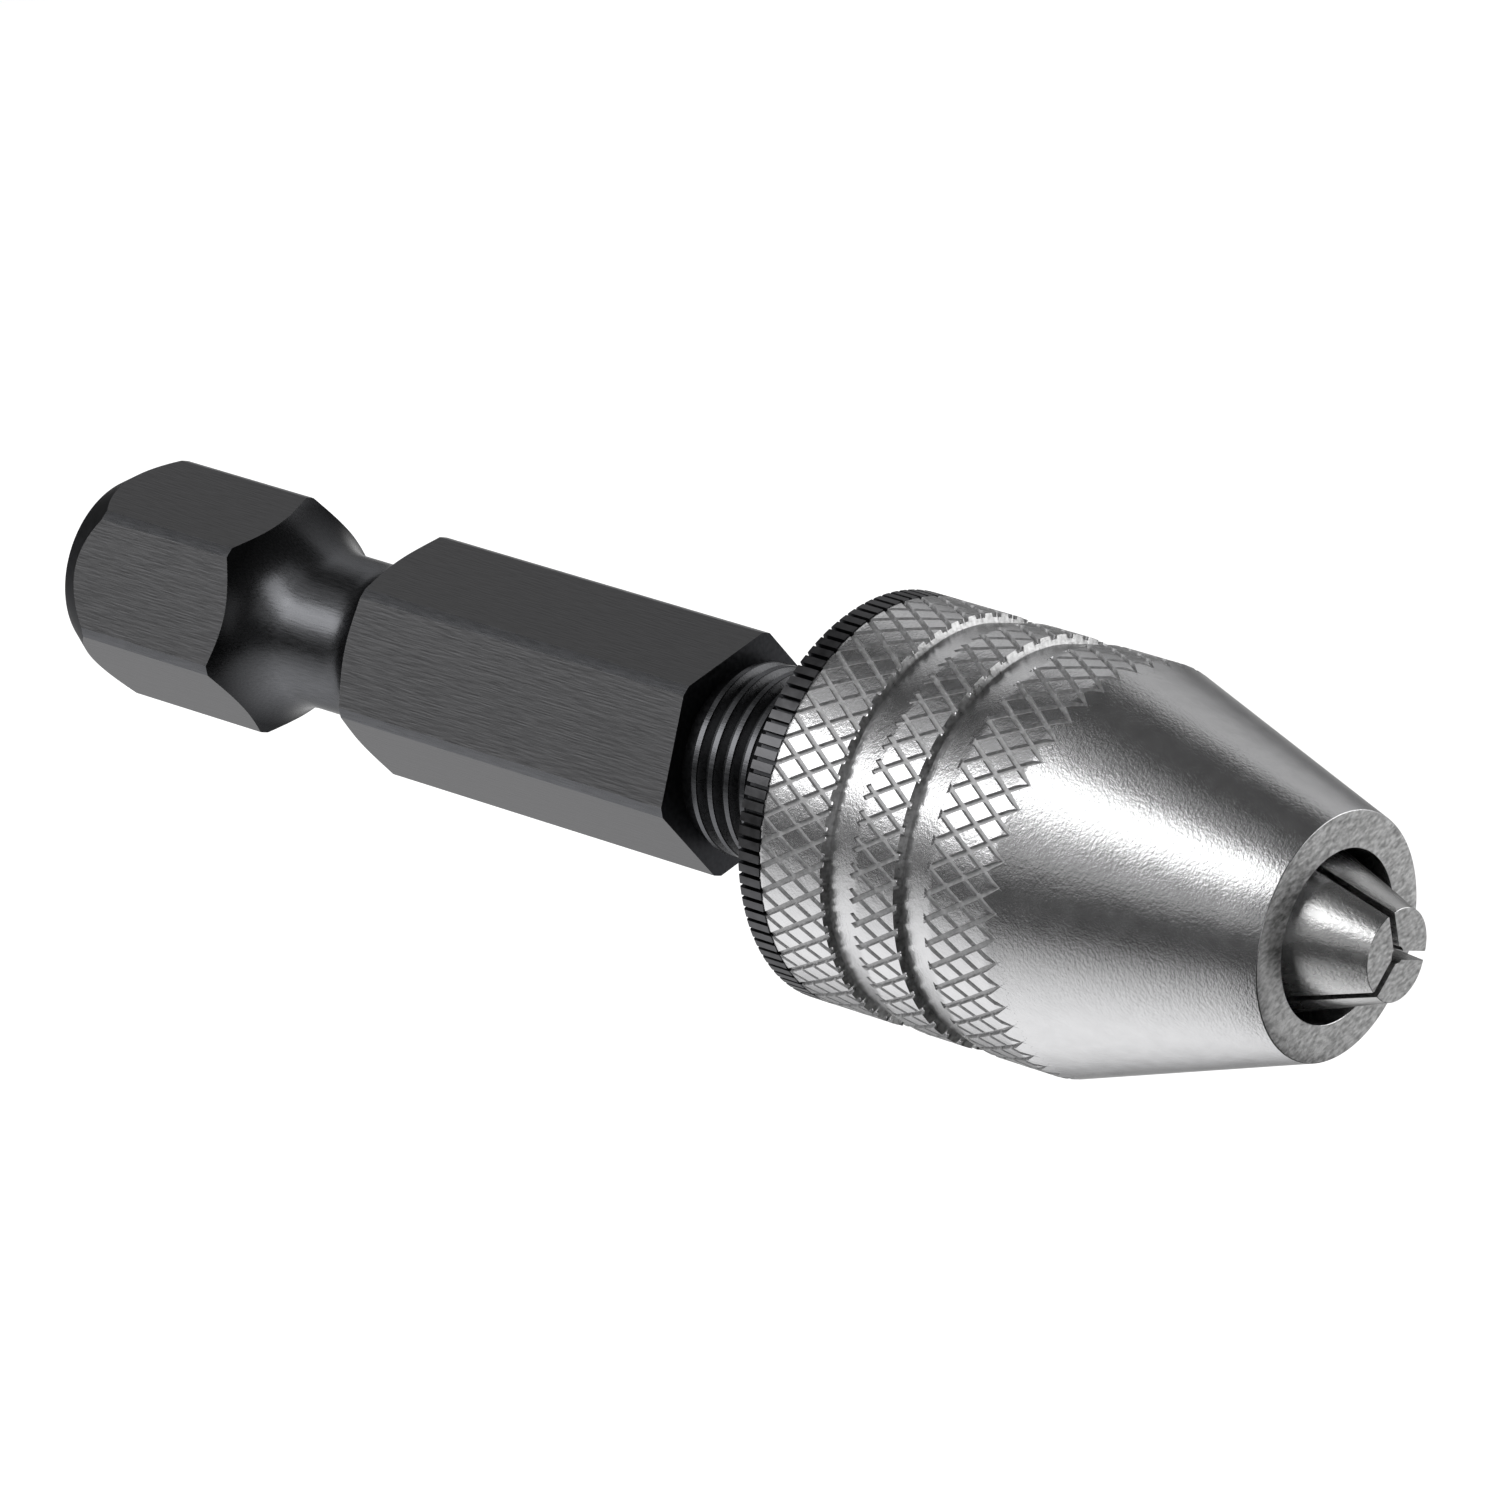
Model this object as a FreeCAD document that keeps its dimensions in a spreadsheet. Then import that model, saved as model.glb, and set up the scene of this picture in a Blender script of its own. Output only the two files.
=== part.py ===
import FreeCAD, Part
import os

import Sketcher
from FreeCAD import Placement, Rotation, Vector

# A keyless three-jaw drill chuck on a quarter-inch hexagon shank.
#
# Frame: origin at the centre of the shank's rear end face, +X along the chuck's axis towards the
# jaws, +Z the normal of one of the hexagon's flats. Angles about the axis run from +Y to +Z.
#
# How it works: the knurled nut runs on the thread of the shank's stem and is pressed into the
# sleeve. Turned by hand, the two screw along the stem, and the sleeve's inner cone pushes three
# jaws inwards. The jaws' backs slide on a washer at the end of the stem, and three small springs
# in the slots between the jaws push them apart again when the sleeve is screwed forwards.

NODES_FOLDER = "parts"

SIZES = [
    # shank: a hexagon with turned ends and a round groove, and a threaded stem in one piece
    ("hexagon_flats", 6.35, "hexagon across flats, a quarter inch"),
    ("corner_radius", 3.575, "radius that the hexagon's corners are turned to"),
    ("rear_face_radius", 2.75, "radius of the flat rear end face"),
    ("rear_chamfer_end", 1.4, "X where the rear chamfer meets the corners"),
    ("groove_start", 6.5, "X where the groove leaves the rear hexagon's corners"),
    ("groove_sweep_radius", 2.77, "radius of the groove's rear side, in the section"),
    ("neck_start", 8.8, "X where the straight neck starts"),
    ("neck_radius", 2.35, "radius of the neck"),
    ("neck_finish", 10.5, "X where the straight neck finishes"),
    ("groove_finish", 11.8, "X where the groove's front cone meets the corners"),
    ("hexagon_front", 24.3, "X of the hexagon's front face"),
    ("relief_radius", 2.62, "radius of the thread relief behind the thread"),
    ("relief_length", 0.45, "length of the thread relief"),
    ("thread_radius", 2.87, "outer radius of the thread"),
    ("thread_pitch", 0.6, "advance of the nut in one turn"),
    ("thread_depth", 0.26, "depth of the thread's groove"),
    ("thread_crest", 0.17, "width of the thread's crest"),
    ("stem_front", 37.3, "X of the stem's front face"),
    ("stem_chamfer", 0.3, "chamfer of the stem's front edge"),
    ("pilot_radius", 1.85, "radius of the blind bore that takes the end of a drill bit"),
    ("pilot_floor", 27.5, "X of the blind bore's floor"),
    ("pilot_cone", 1.0, "length of the drill point at the bore's floor"),
    # knurled nut
    ("nut_rear", 29.27, "X of the nut's rear face"),
    ("flange_front", 30.06, "X where the nut's flange meets the sleeve"),
    ("nut_front", 32.7, "X of the nut's front face, inside the sleeve"),
    ("flange_radius", 5.99, "radius over the nut's fine teeth"),
    ("nut_bore_radius", 2.95, "radius of the nut's bore, clear of the thread"),
    ("bore_chamfer", 0.3, "chamfer at each end of the nut's bore"),
    ("slot_count", 100, "number of fine slots around the flange"),
    ("slot_width", 0.13, "width of one fine slot"),
    ("slot_depth", 0.14, "depth of one fine slot"),
    # sleeve
    ("sleeve_radius", 5.99, "radius of the sleeve's knurled part"),
    ("cavity_radius", 5.0, "radius of the sleeve's cavity and of the nut's spigot"),
    ("grip_step_one", 32.36, "X of the first grip groove's steep wall"),
    ("grip_step_two", 34.86, "X of the second grip groove's steep wall"),
    ("grip_depth", 0.3, "depth of each grip groove at its steep wall"),
    ("grip_ramp", 1.35, "length of each grip groove's gentle ramp"),
    ("grip_wall", 0.08, "axial length of the steep wall"),
    ("cone_start", 38.2, "X where the sleeve's outer cone starts"),
    ("sleeve_front", 45.76, "X of the sleeve's nose face"),
    ("nose_radius", 3.58, "outer radius of the nose face"),
    ("nose_bore_radius", 2.5, "radius of the hole in the nose"),
    ("nose_bore_start", 44.57, "X where the inner cone runs into the nose hole"),
    # jaws
    ("jaw_slope", 0.345, "radius lost per length on the jaws' and the sleeve's inner cone"),
    ("jaw_front", 47.81, "X of the jaws' tip faces"),
    ("jaw_tip_radius", 1.361, "radius of a tip face on its own centre line"),
    ("jaw_body_radius", 3.4, "radius of the jaws' straight rear part"),
    ("jaw_gap", 0.25, "width of the slots between the jaws"),
    ("grip_radius", 0.25, "radius of the gripping bore"),
    ("sliding_gap", 0.02, "clearance in front of and behind the washer"),
    ("washer_thickness", 0.48, "thickness of the thrust washer"),
    ("washer_radius", 4.3, "outer radius of the thrust washer"),
    ("washer_bore_radius", 1.95, "bore radius of the thrust washer"),
    # springs between the jaws
    ("spring_station", 39.8, "X of the springs"),
    ("spring_distance", 2.2, "distance of the springs from the chuck's axis"),
    ("pocket_radius", 0.65, "radius of a spring's pocket"),
    ("pocket_depth", 1.1, "depth of a spring's pocket in one jaw"),
    ("coil_radius", 0.47, "radius of the spring wire's centre line"),
    ("wire_radius", 0.1, "radius of the spring wire"),
    ("coil_length", 2.0, "length of a spring between the wire's end centres"),
    ("coil_pitch", 0.4, "advance of a spring in one turn"),
]

JAW_ANGLES = {"jaw_1": 30, "jaw_2": 150, "jaw_3": 270}
SPRING_ANGLES = {"jaw_spring_1": 90, "jaw_spring_2": 210, "jaw_spring_3": 330}
HALF_JAW_ANGLE = 60
ALONG_AXIS = Vector(1, 0, 0)

doc = FreeCAD.newDocument("drill_chuck")
sheet = doc.addObject("Spreadsheet::Sheet", "Sizes")
for row, (alias, number, meaning) in enumerate(SIZES, 1):
    sheet.set(f"A{row}", meaning)
    sheet.set(f"B{row}", str(number))
    sheet.setAlias(f"B{row}", alias)
doc.recompute()


def sized(text):
    """An expression in which each word is the alias of a cell in the sheet."""
    words = sorted((alias for alias, _, _ in SIZES), key=len, reverse=True)
    for place, word in enumerate(words):
        text = text.replace(word, f"@{place}@")
    for place, word in enumerate(words):
        text = text.replace(f"@{place}@", f"Sizes.{word}")
    return text


def bind(thing, setting, text):
    """Ties one setting of an object to an expression of the sheet's cells."""
    thing.setExpression(setting, sized(text))


def number_of(thing, text):
    """The present value of an expression of the sheet's cells."""
    return float(thing.evalExpression(sized(text)))


def plane_of(body, role):
    """One of a body's own origin planes or axes."""
    return next(part for part in body.Origin.OriginFeatures if part.Role == role)


def new_body(label):
    body = doc.addObject("PartDesign::Body", label)
    body.Label = label
    return body


def place_corner(sketch, curve, corner):
    """Holds the start of a curve at two distances from the sketch's origin."""
    for kind, text in zip(("DistanceX", "DistanceY"), corner):
        if text == "0":
            axis = -1 if kind == "DistanceY" else -2
            sketch.addConstraint(Sketcher.Constraint("PointOnObject", curve, 1, axis))
            continue
        rule = Sketcher.Constraint(kind, -1, 1, curve, 1, number_of(sketch, text))
        index = sketch.addConstraint(rule)
        bind(sketch, f"Constraints[{index}]", text)


def hollow_arc(start, end, radius):
    """The arc from start to end, with its centre on the left of the way it goes."""
    chord = end - start
    left = Vector(-chord.y, chord.x, 0).normalize()
    rise = (radius**2 - (chord.Length / 2) ** 2) ** 0.5
    centre = (start + end) * 0.5 + left * rise
    middle = centre - left * radius
    return Part.Arc(start, middle, end)


def outline(body, name, plane, corners, arcs=None):
    """A closed sketch. Corners are pairs of expressions; arcs gives the radius of the side that
    starts at a corner, for sides that aren't straight."""
    arcs = arcs or {}
    sketch = body.newObject("Sketcher::SketchObject", name)
    sketch.AttachmentSupport = (plane_of(body, plane), [""])
    sketch.MapMode = "FlatFace"
    points = [Vector(number_of(body, a), number_of(body, b), 0) for a, b in corners]
    ends = points[1:] + points[:1]
    for side, (start, end) in enumerate(zip(points, ends)):
        if side in arcs:
            curve = hollow_arc(start, end, number_of(body, arcs[side]))
        else:
            curve = Part.LineSegment(start, end)
        sketch.addGeometry(curve, False)
    for side in range(len(points)):
        following = (side + 1) % len(points)
        sketch.addConstraint(Sketcher.Constraint("Coincident", side, 2, following, 1))
    for side, corner in enumerate(corners):
        place_corner(sketch, side, corner)
    for side, text in arcs.items():
        rule = Sketcher.Constraint("Radius", side, number_of(body, text))
        bind(sketch, f"Constraints[{sketch.addConstraint(rule)}]", text)
    return sketch


def circle(body, name, plane, centre, radius):
    """A sketch of one circle, its centre on the sketch's horizontal axis."""
    sketch = body.newObject("Sketcher::SketchObject", name)
    sketch.AttachmentSupport = (plane_of(body, plane), [""])
    sketch.MapMode = "FlatFace"
    middle = Vector(number_of(body, centre), 0, 0)
    shape = Part.Circle(middle, Vector(0, 0, 1), number_of(body, radius))
    ring = sketch.addGeometry(shape, False)
    if centre == "0":
        sketch.addConstraint(Sketcher.Constraint("Coincident", ring, 3, -1, 1))
    else:
        sketch.addConstraint(Sketcher.Constraint("PointOnObject", ring, 3, -1))
        rule = Sketcher.Constraint("DistanceX", -1, 1, ring, 3, middle.x)
        bind(sketch, f"Constraints[{sketch.addConstraint(rule)}]", centre)
    rule = Sketcher.Constraint("Radius", ring, number_of(body, radius))
    bind(sketch, f"Constraints[{sketch.addConstraint(rule)}]", radius)
    return sketch


def turned(body, name, sketch, kind="PartDesign::Revolution"):
    """Turns a sketch once round its own horizontal axis, to add (or, as a Groove, to cut)."""
    feature = body.newObject(kind, name)
    feature.Profile = sketch
    feature.ReferenceAxis = (sketch, ["H_Axis"])
    feature.Angle = 360
    doc.recompute()
    return feature


def extruded(body, name, sketch, start, length, kind="PartDesign::Pad"):
    """Runs a sketch of the YZ plane along +X from start, to add (or, as a Pocket, to cut)."""
    bind(sketch, "AttachmentOffset.Base.z", start)
    feature = body.newObject(kind, name)
    feature.Profile = sketch
    bind(feature, "Length", length)
    feature.Reversed = kind == "PartDesign::Pocket"
    doc.recompute()
    return feature


def must_shrink(body, before, what):
    """A cut that points away from the solid removes nothing and shows no error."""
    if body.Shape.Volume >= before - 1e-4:
        raise RuntimeError(f"{what} of {body.Label} cut nothing")


def make_shank():
    body = new_body("hex_shank")
    across = "hexagon_flats / 3^0.5"
    corners = [
        (across, "0"),
        (f"{across} / 2", "hexagon_flats / 2"),
        (f"-{across} / 2", "hexagon_flats / 2"),
        (f"-{across}", "0"),
        (f"-{across} / 2", "-hexagon_flats / 2"),
        (f"{across} / 2", "-hexagon_flats / 2"),
    ]
    hexagon = outline(body, "hexagon", "YZ_Plane", corners)
    extruded(body, "hexagon_bar", hexagon, "0", "hexagon_front")

    beyond = "hexagon_flats * 0.7"
    envelope = [
        ("0", "rear_face_radius"),
        ("rear_chamfer_end", "corner_radius"),
        ("groove_start", "corner_radius"),
        ("neck_start", "neck_radius"),
        ("neck_finish", "neck_radius"),
        ("groove_finish", "corner_radius"),
        ("hexagon_front", "corner_radius"),
        ("hexagon_front", beyond),
        ("0", beyond),
    ]
    before = body.Shape.Volume
    waste = outline(body, "turned_envelope", "XY_Plane", envelope, {2: "groove_sweep_radius"})
    turned(body, "turning", waste, "PartDesign::Groove")
    must_shrink(body, before, "turning")

    stem = outline(body, "stem_profile", "XY_Plane", [
        ("hexagon_front", "0"),
        ("hexagon_front", "relief_radius"),
        ("hexagon_front + relief_length", "relief_radius"),
        ("hexagon_front + relief_length + thread_depth", "thread_radius"),
        ("stem_front - stem_chamfer", "thread_radius"),
        ("stem_front", "thread_radius - stem_chamfer"),
        ("stem_front", "0"),
    ])
    turned(body, "stem", stem)
    cut_thread(body)

    before = body.Shape.Volume
    pilot = outline(body, "pilot_profile", "XY_Plane", [
        ("pilot_floor - pilot_cone", "0"),
        ("stem_front", "0"),
        ("stem_front", "pilot_radius"),
        ("pilot_floor", "pilot_radius"),
    ])
    turned(body, "pilot_bore", pilot, "PartDesign::Groove")
    must_shrink(body, before, "pilot bore")
    return body


def cut_thread(body):
    """A right-hand V groove, cut from inside the relief to past the stem's front face."""
    before = body.Shape.Volume
    middle = "hexagon_front + relief_length / 2"
    opening = "(thread_pitch - thread_crest) / 2"
    root = "thread_radius - thread_depth"
    profile = outline(body, "thread_profile", "XY_Plane", [
        (f"{middle} - {opening} * 1.3", "thread_radius + thread_depth * 0.3"),
        (f"{middle} - {opening} * 0.2", root),
        (f"{middle} + {opening} * 0.2", root),
        (f"{middle} + {opening} * 1.3", "thread_radius + thread_depth * 0.3"),
    ])
    groove = body.newObject("PartDesign::SubtractiveHelix", "thread_groove")
    groove.Profile = profile
    groove.ReferenceAxis = (profile, ["H_Axis"])
    groove.Mode = 0
    bind(groove, "Pitch", "thread_pitch")
    bind(groove, "Height", "stem_front - hexagon_front + thread_pitch")
    groove.LeftHanded = False
    doc.recompute()
    must_shrink(body, before, "thread")


def make_nut():
    body = new_body("knurled_nut")
    profile = outline(body, "nut_profile", "XY_Plane", [
        ("nut_rear", "nut_bore_radius + bore_chamfer"),
        ("nut_rear", "flange_radius"),
        ("flange_front", "flange_radius"),
        ("flange_front", "cavity_radius"),
        ("nut_front", "cavity_radius"),
        ("nut_front", "nut_bore_radius + bore_chamfer"),
        ("nut_front - bore_chamfer", "nut_bore_radius"),
        ("nut_rear + bore_chamfer", "nut_bore_radius"),
    ])
    turned(body, "nut_blank", profile)

    before = body.Shape.Volume
    floor = "flange_radius - slot_depth"
    slot = outline(body, "slot_profile", "YZ_Plane", [
        (floor, "-slot_width / 4"),
        ("flange_radius + slot_depth", "-slot_width * 0.75"),
        ("flange_radius + slot_depth", "slot_width * 0.75"),
        (floor, "slot_width / 4"),
    ])
    cut = extruded(body, "slot", slot, "nut_rear", "flange_front - nut_rear", "PartDesign::Pocket")
    must_shrink(body, before, "slot")

    pattern = body.newObject("PartDesign::PolarPattern", "slots")
    pattern.Originals = [cut]
    pattern.Axis = (plane_of(body, "X_Axis"), [""])
    pattern.Angle = 360
    bind(pattern, "Occurrences", "slot_count")
    body.Tip = pattern
    doc.recompute()
    return body


def make_sleeve():
    body = new_body("sleeve")
    low = "sleeve_radius - grip_depth"
    outside = [("flange_front", "cavity_radius"), ("flange_front", "sleeve_radius")]
    for step in ("grip_step_one", "grip_step_two"):
        outside += [
            (step, "sleeve_radius"),
            (f"{step} + grip_wall", low),
            (f"{step} + grip_wall + grip_ramp", "sleeve_radius"),
        ]
    outside += [("cone_start", "sleeve_radius"), ("sleeve_front", "nose_radius")]
    inside = [
        ("sleeve_front", "nose_bore_radius"),
        ("nose_bore_start", "nose_bore_radius"),
        ("nose_bore_start - (cavity_radius - nose_bore_radius) / jaw_slope", "cavity_radius"),
    ]
    turned(body, "sleeve_body", outline(body, "sleeve_profile", "XY_Plane", outside + inside))
    return body


def make_washer():
    body = new_body("thrust_washer")
    rear, front = "stem_front + sliding_gap", "stem_front + sliding_gap + washer_thickness"
    profile = outline(body, "washer_profile", "XY_Plane", [
        (rear, "washer_bore_radius"),
        (rear, "washer_radius"),
        (front, "washer_radius"),
        (front, "washer_bore_radius"),
    ])
    turned(body, "washer", profile)
    return body


def make_jaw(label, angle):
    """A third of a cone. Its outside is centred on an axis moved outwards, so that the three
    jaws form one true cone when their side faces meet."""
    body = new_body(label)
    shift = "jaw_gap / 3^0.5"
    rear = "stem_front + sliding_gap * 2 + washer_thickness"
    reach = "jaw_body_radius * 1.6"
    wedge = outline(body, "wedge", "YZ_Plane", [
        (shift, "0"),
        (f"{shift} + {reach} / 2", f"-{reach} * 3^0.5 / 2"),
        (f"{shift} + {reach}", "0"),
        (f"{shift} + {reach} / 2", f"{reach} * 3^0.5 / 2"),
    ])
    extruded(body, "blank", wedge, rear, f"jaw_front - ({rear})")

    before = body.Shape.Volume
    cone_rear = "jaw_front - (jaw_body_radius - jaw_tip_radius) / jaw_slope"
    waste = outline(body, "outside", "XY_Plane", [
        (rear, f"jaw_body_radius - {shift}"),
        (cone_rear, f"jaw_body_radius - {shift}"),
        ("jaw_front", f"jaw_tip_radius - {shift}"),
        ("jaw_front", f"{reach} * 1.1"),
        (rear, f"{reach} * 1.1"),
    ])
    bind(waste, "AttachmentOffset.Base.y", shift)
    turned(body, "turned_outside", waste, "PartDesign::Groove")
    must_shrink(body, before, "outside")

    before = body.Shape.Volume
    bore = circle(body, "grip_circle", "YZ_Plane", "0", "grip_radius")
    extruded(body, "grip_bore", bore, rear, f"jaw_front - ({rear})", "PartDesign::Pocket")
    must_shrink(body, before, "gripping bore")

    for side in (1, -1):
        before = body.Shape.Volume
        pocket = body.newObject("PartDesign::SubtractiveCylinder", "spring_pocket")
        tilt = HALF_JAW_ANGLE + 180 if side > 0 else -HALF_JAW_ANGLE
        pocket.Placement = Placement(Vector(), Rotation(ALONG_AXIS, tilt))
        bind(pocket, "Placement.Base.x", "spring_station")
        bind(pocket, "Placement.Base.y", f"spring_distance * cos({HALF_JAW_ANGLE} deg)")
        bind(pocket, "Placement.Base.z", f"{side} * spring_distance * sin({HALF_JAW_ANGLE} deg)")
        bind(pocket, "Radius", "pocket_radius")
        bind(pocket, "Height", "jaw_gap / 2 + pocket_depth")
        doc.recompute()
        must_shrink(body, before, "spring pocket")
    body.Placement = Placement(Vector(), Rotation(ALONG_AXIS, angle))
    return body


def make_spring(label, angle):
    """A compression spring across one slot, in a pocket of the jaw on each side."""
    body = new_body(label)
    wire = circle(body, "wire_circle", "XZ_Plane", "coil_radius", "wire_radius")
    bind(wire, "AttachmentOffset.Base.y", "-coil_length / 2")
    coil = body.newObject("PartDesign::AdditiveHelix", "coil")
    coil.Profile = wire
    coil.ReferenceAxis = (wire, ["V_Axis"])
    coil.Mode = 0
    bind(coil, "Pitch", "coil_pitch")
    bind(coil, "Height", "coil_length")
    doc.recompute()
    body.Placement = Placement(Vector(), Rotation(ALONG_AXIS, angle))
    bind(body, "Placement.Base.x", "spring_station")
    bind(body, "Placement.Base.y", f"spring_distance * cos({angle} deg)")
    bind(body, "Placement.Base.z", f"spring_distance * sin({angle} deg)")
    return body


def check(pieces):
    """Stops if any object failed or any piece isn't one valid solid."""
    failed = [o.Name for o in doc.Objects if {"Invalid", "Error"} & set(o.State)]
    if failed:
        raise RuntimeError(f"failed objects: {failed}")
    for piece in pieces:
        shape = piece.Shape
        if shape.isNull() or not shape.isValid() or len(shape.Solids) != 1:
            raise RuntimeError(f"{piece.Label} isn't one valid solid")


def main():
    pieces = [make_shank(), make_nut(), make_sleeve(), make_washer()]
    pieces += [make_jaw(label, angle) for label, angle in JAW_ANGLES.items()]
    pieces += [make_spring(label, angle) for label, angle in SPRING_ANGLES.items()]
    doc.recompute()
    check(pieces)
    os.makedirs(NODES_FOLDER, exist_ok=True)
    for piece in pieces:
        piece.Shape.exportStep(os.path.join(NODES_FOLDER, f"{piece.Label}.step"))
        box = piece.Shape.BoundBox
        print(f"{piece.Label}: {piece.Shape.Volume:.3f} mm3, X {box.XMin:.2f} to {box.XMax:.2f}, "
              f"Y {box.YMin:.2f} to {box.YMax:.2f}, Z {box.ZMin:.2f} to {box.ZMax:.2f}")


main()
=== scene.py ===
from math import acos, atan2, cos, floor, hypot, pi, radians, sin, sqrt

import bmesh
import bpy
from mathutils import Matrix, Vector


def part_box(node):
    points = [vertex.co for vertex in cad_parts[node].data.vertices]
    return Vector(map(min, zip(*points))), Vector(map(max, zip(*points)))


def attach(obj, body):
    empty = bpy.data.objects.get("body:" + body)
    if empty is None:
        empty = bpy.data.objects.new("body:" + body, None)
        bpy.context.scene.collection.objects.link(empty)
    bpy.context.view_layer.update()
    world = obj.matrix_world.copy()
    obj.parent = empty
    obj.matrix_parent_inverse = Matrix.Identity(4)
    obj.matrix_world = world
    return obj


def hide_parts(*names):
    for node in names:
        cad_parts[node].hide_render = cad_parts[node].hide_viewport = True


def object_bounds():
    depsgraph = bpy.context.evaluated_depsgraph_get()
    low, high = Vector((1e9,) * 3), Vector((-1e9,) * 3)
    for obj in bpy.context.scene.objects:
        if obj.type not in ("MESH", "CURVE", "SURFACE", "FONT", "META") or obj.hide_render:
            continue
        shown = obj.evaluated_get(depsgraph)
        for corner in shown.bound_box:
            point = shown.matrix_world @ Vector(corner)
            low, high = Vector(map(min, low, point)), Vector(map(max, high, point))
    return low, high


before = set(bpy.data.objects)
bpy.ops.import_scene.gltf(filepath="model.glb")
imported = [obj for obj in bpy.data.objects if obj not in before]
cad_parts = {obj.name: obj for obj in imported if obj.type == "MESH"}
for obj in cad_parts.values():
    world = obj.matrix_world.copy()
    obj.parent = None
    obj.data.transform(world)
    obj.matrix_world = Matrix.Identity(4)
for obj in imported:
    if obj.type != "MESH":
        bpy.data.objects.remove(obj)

# A small keyless drill chuck on a quarter-inch hexagon shank, in metres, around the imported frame.
# Angles about the axis run from +Y towards +Z, and stations are distances along +X.

MM = 0.001
TURN = 2 * pi
SPRING_NODES = ("jaw_spring_1", "jaw_spring_2", "jaw_spring_3")
SMALL = 1e-7                         # a difference of length that counts as none
MERGE = 1e-6                         # points nearer than this are one

cad_low, cad_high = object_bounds()


def node_ends(cad_node):
    """The stations where a CAD node starts and ends, and its greatest radius along Y."""
    low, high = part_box(cad_node)
    return low.x, high.x, high.y


SLEEVE_REAR, SLEEVE_FRONT, SLEEVE_RADIUS = node_ends("sleeve")
NUT_REAR, NUT_FRONT, _ = node_ends("knurled_nut")
JAW_REAR, JAW_FRONT, _ = node_ends("jaw_1")
WASHER_REAR, _, _ = node_ends("thrust_washer")


# ---------------------------------------------------------------------------------------------
# Round meshes


def at(station, radius, angle):
    return Vector((station, radius * cos(angle), radius * sin(angle)))


def angle_of(vert):
    return atan2(vert.co.z, vert.co.y) % TURN


def mix(low, high, share):
    return low + (high - low) * share


def clamp(value, low=0.0, high=1.0):
    return max(low, min(high, value))


def ring_of(mesh, station, radius, angles):
    """A ring of points; radius is a number or a function of the angle."""
    reach = radius if callable(radius) else lambda angle: radius
    return [mesh.verts.new(at(station, reach(angle), angle)) for angle in angles]


def join_rings(mesh, first, second):
    for k in range(len(first)):
        mesh.faces.new((first[k - 1], first[k], second[k], second[k - 1]))


def carry_ring(mesh, ring, stations):
    """Extends a ring through (station, radius) pairs. Every point keeps its angle."""
    for station, radius in stations:
        following = ring_of(mesh, station, radius, [angle_of(vert) for vert in ring])
        join_rings(mesh, ring, following)
        ring = following
    return ring


def turned(mesh, stations, angles):
    """A closed turned shape through (station, radius) pairs."""
    first = ring_of(mesh, *stations[0], angles)
    join_rings(mesh, carry_ring(mesh, first, stations[1:]), first)


def open_ring(mesh, station):
    """The points of the open edge at a station, in order of their angle."""
    edge = [vert for vert in mesh.verts
            if vert.is_boundary and abs(vert.co.x - station) < SMALL]
    return sorted(edge, key=angle_of)


def cut(mesh, place, normal, keep="both"):
    """Cuts the mesh with a plane, and keeps only what is under or over it if asked."""
    geometry = mesh.verts[:] + mesh.edges[:] + mesh.faces[:]
    return bmesh.ops.bisect_plane(
        mesh, geom=geometry, dist=SMALL, plane_co=place, plane_no=normal,
        clear_outer=keep == "under", clear_inner=keep == "over")


def cut_across(mesh, station, keep="both"):
    """Cuts the mesh at a station. Over it is in front of it."""
    cut(mesh, (station, 0, 0), (1, 0, 0), keep)


def finished(mesh, name, sharp=32):
    """Turns the mesh into an object, smooth but for edges sharper than the given angle."""
    bmesh.ops.recalc_face_normals(mesh, faces=mesh.faces)
    data = bpy.data.meshes.new(name)
    mesh.to_mesh(data)
    mesh.free()
    data.shade_smooth()
    data.set_sharp_from_angle(angle=radians(sharp))
    thing = bpy.data.objects.new(name, data)
    bpy.context.scene.collection.objects.link(thing)
    return thing


def arc_stations(start, end, bulge, count):
    """Points from start to end, both (station, radius), pushed sideways into an arc."""
    (x1, r1), (x2, r2) = start, end
    along = Vector((x2 - x1, r2 - r1))
    side = Vector((-along.y, along.x)).normalized()
    points = []
    for k in range(1, count + 1):
        share = k / count
        point = Vector((x1, r1)) + along * share + side * bulge * 4 * share * (1 - share)
        points.append((point.x, point.y))
    return points


# ---------------------------------------------------------------------------------------------
# Sleeve

KNURL_CELLS = 50                     # diamonds around the sleeve
KNURL_STEP = 1.2 * MM                # length of one diamond
KNURL_PLACE = 0.64 * MM              # from the sleeve's rear face to a crossing of grooves
KNURL_DEPTH = 0.11 * MM
HALF_FLOOR = 0.100                   # half the width of a groove's floor, in cells
HALF_MOUTH = 0.131                   # half the width of its mouth, in cells
END_WALL = 0.04                      # slope of a groove's blunt end, in cells
KNURL_FLOOR = SLEEVE_RADIUS - 0.9 * KNURL_DEPTH       # no knurl is left on a blank below it

WALL_STATIONS = (SLEEVE_REAR + 2.23 * MM, SLEEVE_REAR + 4.87 * MM)
GRIP_WALL = 0.10 * MM                # axial length of a grip groove's steep wall
GRIP_DEPTH = 0.26 * MM
GRIP_LENGTH = 1.30 * MM              # from the wall's top to the end of the ramp in front of it
SECOND_BAND_CELLS = 4.5              # a groove of the second band starts here in the other count
THIRD_BAND = SLEEVE_REAR + 5.97 * MM
CONE_START = SLEEVE_REAR + 8.14 * MM
CONE_END_RADIUS = 3.58 * MM
SMOOTH_START = SLEEVE_REAR + 8 * KNURL_STEP
KNURL_TIPS = CONE_START + 0.41 * MM  # where the cone has cut the grooves away
PAST_TIPS = KNURL_TIPS + 0.12 * MM   # a last cut across the smooth cone beside the tips
NOSE_BORE = 2.5 * MM
NOSE_ROUND = 0.03 * MM
NOSE_BULGE = 0.2 * NOSE_ROUND
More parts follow.
